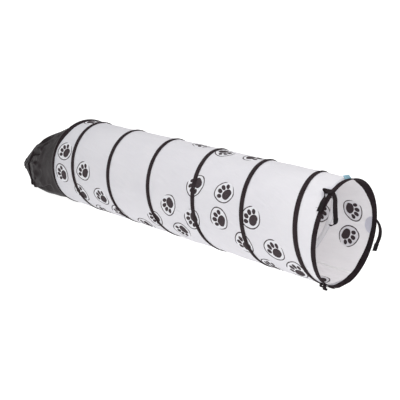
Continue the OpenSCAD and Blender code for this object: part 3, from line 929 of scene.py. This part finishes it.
# ---------------------------------------------------------------- ties
def curve_through(points, n):
    """n points evenly spaced on a smooth curve through points, and their distances."""
    p = np.asarray(points, float)
    p = np.vstack([2 * p[0] - p[1], p, 2 * p[-1] - p[-2]])
    fine = []
    for i in range(1, len(p) - 2):
        for s in np.linspace(0, 1, 24, endpoint=False):
            fine.append(catmull_rom(p[i - 1], p[i], p[i + 1], p[i + 2], s))
    fine.append(p[-2])
    fine = np.array(fine)
    d = np.concatenate([[0], np.cumsum(np.linalg.norm(np.diff(fine, axis=0), axis=1))])
    at = np.linspace(0, d[-1], n)
    return np.stack([np.interp(at, d, fine[:, c]) for c in range(3)], -1), at


def strip_frame(path, faces_up, rows):
    """Even points along a ribbon's path, the way its face points at each, and their distances.
    faces_up gives the direction its face points at each path point."""
    centres, at = curve_through(path, rows)
    ends, _ = curve_through(np.asarray(path, float) + np.asarray(faces_up, float), rows)
    return centres, ends - centres, at


def strip_uvs(count, at, section):
    rows, m = section.shape[:2]
    uvs = np.zeros((count, 2))
    uvs[: rows * m, 0] = np.repeat(at, m)
    uvs[: rows * m, 1] = section[..., 0].reshape(-1)
    return uvs


def ribbon_mesh(name, path, faces_up, width, thick=0.0011, rows=48, cup=0.0):
    """A flat ribbon along path, its middle raised by cup."""
    centres, ups, at = strip_frame(path, faces_up, rows)
    half = width / 2
    edges = (-1, -0.94, -0.6, -0.2, 0.2, 0.6, 0.94, 1)
    prof = []
    for face, order in ((1, edges), (-1, edges[::-1])):
        for u in order:
            prof.append((u * half, face * thick / 2 * (0.55 if abs(u) == 1 else 1) + cup * (1 - u * u)))
    section = np.broadcast_to(np.array(prof), (rows, len(prof), 2)).copy()
    s = np.linspace(0, 1, rows)
    section[..., 1] += (0.0004 * noise(s * 9, 0.5 + 0 * s, 101))[:, None]
    points, faces = sweep(centres, ups, section)
    return new_mesh(name, points, faces, RIBBON, uvs=strip_uvs(len(points), at, section))


def pad_mesh(name, path, faces_up, width, thick):
    """A hook-and-loop end: a doubled ribbon with a rough pile on one face and sewn edges."""
    rows = 30
    centres, ups, at = strip_frame(path, faces_up, rows)
    half = width / 2
    prof = [(-1, 0.3), (-0.95, 0.75), (-0.82, 0.7), (-0.78, 1), (-0.45, 1.04), (0, 1.0), (0.45, 1.05),
            (0.78, 1), (0.82, 0.7), (0.95, 0.75), (1, 0.3), (1, -0.6), (0.5, -0.9), (0, -1), (-0.5, -0.9),
            (-1, -0.6)]
    prof = np.array([(u * half, v * thick / 2) for u, v in prof])
    section = np.broadcast_to(prof, (rows, len(prof), 2)).copy()
    s = np.linspace(0, 1, rows)
    rng = np.random.default_rng(5)
    section[:, 3:8, 1] += rng.uniform(-0.00022, 0.00022, (rows, 5))
    ends = np.minimum(1, np.minimum(s, 1 - s) / 0.06)
    section[..., 1] *= (0.45 + 0.55 * ends)[:, None]
    points, faces = sweep(centres, ups, section)
    col = np.tile(np.arange(len(prof)), rows - 1)
    mats = [np.where((col >= 3) & (col < 7), 1, 0)] + [np.zeros(len(f), int) for f in faces[1:]]
    return new_mesh(name, points, faces, [RIBBON, PILE], np.concatenate(mats),
                    strip_uvs(len(points), at, section))


def on_tube(x, a, lift):
    return place(x, a, TAPE_OUT + lift)


def radial(a):
    return np.array([0, -math.sin(math.radians(a)), -math.cos(math.radians(a))])


def frayed_end(name, at, heading, up, body):
    """A few loose warp threads where a ribbon was cut."""
    made = Parts()
    rng = np.random.default_rng(11)
    heading, up = np.asarray(heading, float), np.asarray(up, float)
    heading, up = heading / np.linalg.norm(heading), up / np.linalg.norm(up)
    side = np.cross(heading, up)
    ring = np.linspace(0, 2 * math.pi, 7)[:-1]
    width = np.linspace(0.00042, 0.00015, 10)[:, None]
    section = np.stack([width * np.cos(ring), width * np.sin(ring)], -1)
    for i in range(7):
        start = np.asarray(at) + side * (i - 3) * 0.0022
        bend = side * rng.uniform(-0.006, 0.006) + up * rng.uniform(0.0, 0.003)
        size = rng.uniform(0.007, 0.016)
        middle, tip = start + heading * size * 0.5 + bend * 0.3, start + heading * size + bend
        path, _ = curve_through([start, middle, tip], 10)
        points, faces = sweep(path, np.broadcast_to(up, (10, 3)), section)
        made.add(points, faces, 0)
    obj = made.mesh(name, [RIBBON])
    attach(obj, body)


def ribbon_and_pad(tie, ribbon, pad):
    """One tie ribbon and its hook-and-loop end, on the body that they swing with."""
    part_of(ribbon_mesh(f"{tie}_ribbon_weave", **ribbon), f"{tie}_ribbon", f"tie_{tie}")
    part_of(pad_mesh(f"{tie}_pad", **pad), f"{tie}_ribbon", f"tie_{tie}_pad")


def build_near_tie():
    # The outer ribbon goes back over the tube, is folded over on itself, and comes forward again
    # down the side of the rim to its pad.
    out, back = radial(151), np.array([-1.0, 0, 0])
    path = [on_tube(*p) for p in (
        (-0.004, 150.6, 0.0012), (-0.016, 150.2, 0.0014), (-0.030, 149.7, 0.0018), (-0.040, 149.2, 0.0024),
        (-0.0450, 148.5, 0.0042), (-0.0425, 147.4, 0.0062), (-0.0360, 145.8, 0.0056),
        (-0.0290, 142.8, 0.0038), (-0.0230, 138.8, 0.0024), (-0.0190, 134.8, 0.0018))]
    fold = [out * 0.8 - back * 0.6, -back, -out * 0.8 - back * 0.6]
    faces = [out] * 3 + fold + [-radial(a) for a in (144, 141, 138, 135)]
    pad_path = [on_tube(*p) for p in ((-0.0192, 135.2, 0.0026), (-0.0178, 131.8, 0.0024),
                                      (-0.0172, 128.4, 0.0026), (-0.0175, 125.6, 0.0036))]
    pad_faces = [radial(a) for a in (135, 131, 127, 125)]
    ribbon_and_pad("near_outer", dict(path=path, faces_up=faces, width=0.0245, rows=72, cup=0.0004),
                   dict(path=pad_path, faces_up=pad_faces, width=0.0245, thick=0.0030))
    root = on_tube(-0.0225, 128.5, 0.0022)
    frayed_end("near_outer_loose_threads", root, on_tube(-0.040, 126.0, 0.0022) - root, radial(128),
               "near_outer_ribbon")

    # The inner ribbon hangs in the mouth and curls up at its end.
    rim = place(0.0, 150.0, 0.2440)
    rim[0] = MOUTH_X
    path = rim + [(-0.004, -0.006, 0.0045), (0.0015, -0.001, -0.003), (0.005, 0.007, -0.026),
                  (0.004, 0.011, -0.056), (0.004, 0.015, -0.088), (0.005, 0.018, -0.114)]
    faces = [(1, -0.5, 0.6), (1, -0.6, 0.1), (1, -0.75, 0), (1, -0.7, 0), (1, -0.55, 0), (1, -0.5, 0)]
    pad_path = rim + [(0.0052, 0.0180, -0.113), (0.006, 0.018, -0.126), (0.004, 0.016, -0.138),
                      (-0.005, 0.008, -0.146), (-0.014, -0.002, -0.144)]
    pad_faces = [(1, -0.5, 0), (1, -0.5, -0.1), (0.8, -0.4, -0.6), (0.2, -0.1, -1), (-0.3, -0.2, -1)]
    ribbon_and_pad("near_inner", dict(path=path, faces_up=faces, width=0.0215, cup=0.0009),
                   dict(path=pad_path, faces_up=pad_faces, width=0.0235, thick=0.0030))


def build_far_tie():
    # The outer ribbon bulges out from the rim and falls beside it.
    rim = np.array([MOUTH_X, SIDE_Y + TAPE_OUT, AXIS_Z])
    path = rim + [(-0.012, 0.0005, 0.002), (-0.006, 0.005, -0.008), (0.002, 0.010, -0.026),
                  (0.006, 0.0145, -0.052), (0.005, 0.0145, -0.078), (0.001, 0.011, -0.100),
                  (-0.004, 0.008, -0.118)]
    faces = [(0.8, 0.2, 0.6), (1, -0.2, 0.7), (1, -0.5, 0.3), (1, -0.7, 0.05), (1, -0.7, -0.05),
             (1, -0.7, -0.1), (1, -0.6, -0.1)]
    pad_path = rim + [(-0.004, 0.008, -0.117), (-0.006, 0.005, -0.130), (-0.008, 0.003, -0.143),
                      (-0.011, 0.001, -0.154)]
    pad_faces = [(1, -0.6, -0.1), (1, -0.6, -0.1), (1, -0.5, -0.1), (1, -0.5, -0.2)]
    ribbon_and_pad("far_outer", dict(path=path, faces_up=faces, width=0.0195, cup=0.0007),
                   dict(path=pad_path, faces_up=pad_faces, width=0.0245, thick=0.0034))

    # The inner ribbon lies against the hem.
    def inside(x, a, gap):
        return place(x, a, 0.2440 - gap)

    path = [inside(-0.010, 269, 0.0006), inside(-0.0105, 277, 0.0010), inside(-0.0110, 285, 0.0014),
            inside(-0.0112, 296.2, 0.0012)]
    faces = [-radial(a) for a in (269, 277, 285, 296)]
    pad_path = [inside(-0.0112, 296, 0.0014), inside(-0.0115, 300, 0.0016), inside(-0.012, 304.5, 0.0020)]
    pad_faces = [-radial(a) for a in (296, 300, 304)]
    ribbon_and_pad("far_inner", dict(path=path, faces_up=faces, width=0.0155, thick=0.0009),
                   dict(path=pad_path, faces_up=pad_faces, width=0.019, thick=0.0022))


def build_low_tie(name, x, wide, drop):
    """The ribbon hangs off the rim in a short fold, and its end is tucked up under the tube
    against the hem."""
    start = place(x, 35.0, TAPE_OUT + 0.001)
    sy, sz = float(start[1]), float(start[2])
    px = MOUTH_X + x
    foot = sz - drop
    path = [(px, sy + 0.0035, sz + 0.0045), (px, sy - 0.0012, sz), (px, sy - 0.0030, sz - 0.4 * drop),
            (px, sy - 0.0022, foot + 0.0030), (px, sy + 0.0005, foot), (px, sy + 0.0040, foot + 0.0014),
            (px, sy + 0.0070, foot + 0.4 * drop - 0.0020)]
    faces = [(0, -1, -0.5), (0, -1, -0.3), (0, -1, 0), (0, -1, -0.5), (0, 0, -1), (0, 0.8, -0.6),
             (0, 1, -0.8)]
    part_of(ribbon_mesh(f"{name}_ribbon_drop", path, faces, wide), "mouth", f"tie_{name}")
    gap = 0.0019
    path = [place(x, a, TAPE_OUT + gap) for a in (33.4, 31.0, 28.6, 26.4)]
    faces = [radial(a) for a in (33, 31, 28, 26)]
    part_of(ribbon_mesh(f"{name}_ribbon_tail", path, faces, wide), f"{name}_tail", f"tie_{name}_tail")
    path = [place(x, a, TAPE_OUT + gap) for a in (26.6, 24.0, 21.4, 19.0)]
    faces = [radial(a) for a in (26, 24, 21, 19)]
    part_of(pad_mesh(f"{name}_pad", path, faces, wide + 0.001, 0.0024), f"{name}_tail", f"tie_{name}_pad")


# ---------------------------------------------------------------- the end sock
SLEEVE, GATHER = 0.480, 0.180
# Folds in the sock: (s, angle) at both ends, half width in metres, depth (a ridge if negative).
FOLDS = [
    (0.300, 122, 0.440, 128, 0.012, 0.016),
    (0.440, 128, 0.505, 104, 0.010, 0.014),
    (0.505, 104, 0.470, 70, 0.010, 0.012),
    (0.330, 100, 0.450, 96, 0.012, -0.012),
    (0.470, 66, 0.455, 24, 0.009, 0.011),
    (0.425, 64, 0.420, 30, 0.012, -0.009),
    (0.250, 84, 0.390, 72, 0.012, 0.010),
    (0.120, 60, 0.330, 48, 0.014, 0.009),
    (0.100, 135, 0.300, 142, 0.016, 0.009),
    (0.200, 150, 0.420, 158, 0.013, 0.010),
    (0.180, 215, 0.400, 228, 0.014, 0.010),
    (0.300, 260, 0.470, 248, 0.012, 0.012),
    (0.220, 300, 0.420, 292, 0.014, 0.010),
    (0.460, 205, 0.480, 290, 0.010, 0.010),
    (0.520, 110, 0.620, 96, 0.006, 0.006),
    (0.510, 60, 0.620, 70, 0.006, 0.006),
    (0.520, 250, 0.620, 262, 0.006, 0.006),
]


def fold_push(s, a):
    total = np.zeros_like(s)
    for s0, a0, s1, a1, wide, deep in FOLDS:
        # Distances along the cloth, with an angle counted at the sock's own width there.
        girth = np.interp((s0 + s1) / 2, [0, SLEEVE, SLEEVE + GATHER], [0.248, 0.125, 0.03])
        px, py = s - s0, np.radians((a - a0 + 180) % 360 - 180) * girth
        qx, qy = s1 - s0, math.radians(a1 - a0) * girth
        size = math.hypot(qx, qy)
        along = (px * qx + py * qy) / size
        across = (py * qx - px * qy) / size + 0.10 * along * (along - size) / size
        fade = smooth(along / (0.3 * size) + 0.4) * smooth((size - along) / (0.3 * size) + 0.4)
        # A fold is a valley with a fuller lip beside it.
        valley = np.exp(-(across / wide) ** 2)
        lip = np.exp(-((across - 1.9 * wide) / (1.5 * wide)) ** 2)
        total += 1.15 * deep * fade * (valley - 0.55 * lip)
    return total


def sock_point(s, a):
    """A point of the sock's cloth at distance s behind the ring and angle a."""
    s, a = np.broadcast_arrays(np.asarray(s, float), np.asarray(a, float))
    f = np.clip(s / SLEEVE, 0, 1)
    g = np.clip((s - SLEEVE) / GATHER, 0, 1)
    ring_top = AXIS_Z + RING_R - 0.0005
    half = np.where(s <= SLEEVE, 0.2485 + (0.078 - 0.2485) * f, 0.078 + (0.014 - 0.078) * g)
    top = np.where(s <= SLEEVE, ring_top + (0.283 - ring_top) * f, 0.283 + (0.140 - 0.283) * g)
    low = np.where(s <= SLEEVE, 0.0035 + (0.012 - 0.0035) * f, 0.012 + (0.090 - 0.012) * g)
    sn, c = np.sin(np.radians(a)), np.cos(np.radians(a))
    # Behind the ring the section turns from round into a bag, full below and narrow on top.
    blunt = smooth(f / 0.7) * (1 - 0.8 * g)
    power = np.where(c > 0, 1 - 0.42 * blunt * smooth(c / 0.3), 1 + 0.25 * blunt * smooth(-c / 0.5))
    side, up = np.sign(sn) * np.abs(sn) ** power, np.sign(c) * np.abs(c) ** power
    mid, tall = (top + low) / 2, (top - low) / 2
    arc = a / 360.0
    cells = 24
    slack = smooth(s / 0.06) * (0.25 + 0.75 * smooth(s / 0.30))
    folds = noise(s / 0.10, arc * cells, 131, cells) * 0.5
    folds = folds + noise(s / 0.045 + 5, arc * 2 * cells, 137, 2 * cells) * 0.3
    crease = 1 - 2 * np.abs(noise(s / 0.16 + 2, arc * cells / 2, 139, cells // 2))
    push = slack * (0.0050 * folds + 0.0055 * crease) * (1 - 0.5 * g) - fold_push(s, a) * (1 - 0.3 * g)
    pleat = 0.0035 * smooth((s - SLEEVE + 0.05) / 0.12) * np.abs(np.sin(np.radians(a) * 11))
    # The cloth swells out just behind the ring, where it is sewn on over the rim.
    swell = smooth((0.05 - s) / 0.04) * smooth(s / 0.008) * (0.003 + 0.0045 * smooth(-c / 0.8))
    swell = swell * smooth((0.6 - c) / 0.5)
    y = -(half * side + (push - pleat + swell) * sn)
    z = mid - (tall * up + (push - pleat + swell) * c)
    shift = -0.0052 * sn * (1 - f)
    drift = 0.016 * smooth(f) * (1 - g)
    return np.stack([MOUTH_X - LENGTH - s + shift, SIDE_Y + y - drift, np.maximum(z, 0.0022)], -1)


def build_sock():
    cols = 289
    a = np.linspace(0, 360, cols)
    for name, s0, s1, rows, replaced in (("sock_sleeve_cloth", 0.0, SLEEVE, 150, "sock_sleeve"),
                                         ("sock_end_cloth", SLEEVE, SLEEVE + GATHER, 60, "sock_end")):
        s = np.linspace(s0, s1, rows)[:, None] + 0 * a[None, :]
        points = sock_point(s, a[None, :] + 0 * s)
        uvs = np.stack([s, np.radians(a)[None, :] * 0.2 + 0 * s], -1)
        made = Parts()
        weights = np.clip(s.reshape(-1) / SLEEVE, 0, 1)
        made.add(points, [grid_faces(rows, cols)], 0, uvs, weights)
        obj = made.mesh(name, [SOCK])
        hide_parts(replaced)
        if replaced == "sock_sleeve":
            slide_between(obj)
        else:
            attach(obj, "sock_tip")


def build_drawcord():
    """The drawn-up cord round the gathered tip."""
    n = 120
    t = np.linspace(0, 360, n + 1)[:-1]
    s = SLEEVE + GATHER - 0.008
    base = sock_point(s + 0 * t, t)
    mid = base.mean(0)
    out = base - mid
    out[:, 0] = 0
    length = np.linalg.norm(out, axis=1, keepdims=True)
    centres = base + out / length * 0.0026
    ring = np.linspace(0, 2 * math.pi, 9)[:-1]
    twist = np.arange(n)[:, None] * 0.9
    rr = 0.0020 * (1 + 0.10 * np.cos(2 * ring[None, :] + twist))
    section = np.stack([rr * np.cos(ring[None, :] + 0 * twist), rr * np.sin(ring[None, :] + 0 * twist)], -1)
    points, faces = sweep(centres, out / length, section, closed_path=True)
    obj = new_mesh("sock_drawcord", points, faces, RIBBON, uvs=np.zeros((len(points), 2)))
    part_of(obj, "sock_tip", "sock_cord")


# ---------------------------------------------------------------- stage, light and camera
def build_stage():
    m, nodes, links, out = material("studio_floor")
    bsdf = node(nodes, "ShaderNodeBsdfPrincipled", Roughness=0.9)
    bsdf.inputs["Base Color"].default_value = (0.35, 0.35, 0.35, 1)
    bsdf.inputs["Specular IOR Level"].default_value = 0.05
    bsdf.inputs["Emission Color"].default_value = (1, 1, 1, 1)
    bsdf.inputs["Emission Strength"].default_value = 0.98
    links.new(bsdf.outputs[0], out.inputs[0])
    n = 24
    size = 40.0
    g = np.linspace(-size, size, n)
    gx, gy = np.meshgrid(g, g)
    pts = np.stack([gx, gy, 0 * gx - 0.0006], -1)
    floor = new_mesh("studio_floor", pts.reshape(-1, 3), [grid_faces(n, n)], m)

    def area(name, loc, aim, size, power, colour=(1, 1, 1)):
        light = bpy.data.lights.new(name, "AREA")
        light.shape = "RECTANGLE"
        light.size, light.size_y = size
        light.energy = power
        light.color = colour
        obj = bpy.data.objects.new(name, light)
        obj.location = loc
        obj.rotation_euler = (Vector(aim) - Vector(loc)).to_track_quat("-Z", "Y").to_euler()
        bpy.context.collection.objects.link(obj)

    area("overhead_softbox", (0.5, -0.3, 3.2), (0.3, 0, 0), (4.0, 3.0), 56)
    area("key_softbox", (3.2, -2.4, 2.4), (0.9, 0, 0.25), (2.0, 1.6), 33)
    world = bpy.data.worlds.new("studio")
    world.use_nodes = True
    world.node_tree.nodes["Background"].inputs[0].default_value = (1, 1, 1, 1)
    world.node_tree.nodes["Background"].inputs[1].default_value = 0.58
    bpy.context.scene.world = world


def build_camera():
    cam = bpy.data.cameras.new("photo_camera")
    cam.sensor_width = 36.0
    cam.lens = 73.587
    obj = bpy.data.objects.new("photo_camera", cam)
    az, el = math.radians(44.329), math.radians(17.098)
    forward = Vector((-math.sin(az) * math.cos(el), math.cos(az) * math.cos(el), -math.sin(el)))
    obj.location = (3.1914, -2.9243, 1.4641)
    obj.rotation_mode = "QUATERNION"
    obj.rotation_quaternion = forward.to_track_quat("-Z", "Y")
    bpy.context.collection.objects.link(obj)
    bpy.context.scene.camera = obj


build_camera()
build_skins()
build_wires()
build_bindings()
build_hem("mouth_hem_cloth", "mouth", 0.0, -1, hem_inner_width, 0.0245, "mouth_hem")
build_hem("far_hem_cloth", "far_end", -LENGTH, 1, 0.026, far_hem_outer, "far_hem")
build_prints()
build_channels()
build_seams()
build_patches()
build_label()
build_near_tie()
build_far_tie()
build_low_tie("low_outer", -0.0255, 0.0150, 0.0150)
build_low_tie("low_inner", -0.0050, 0.0195, 0.0235)
build_sock()
build_drawcord()
build_stage()
bpy.context.scene.view_settings.view_transform = "Standard"
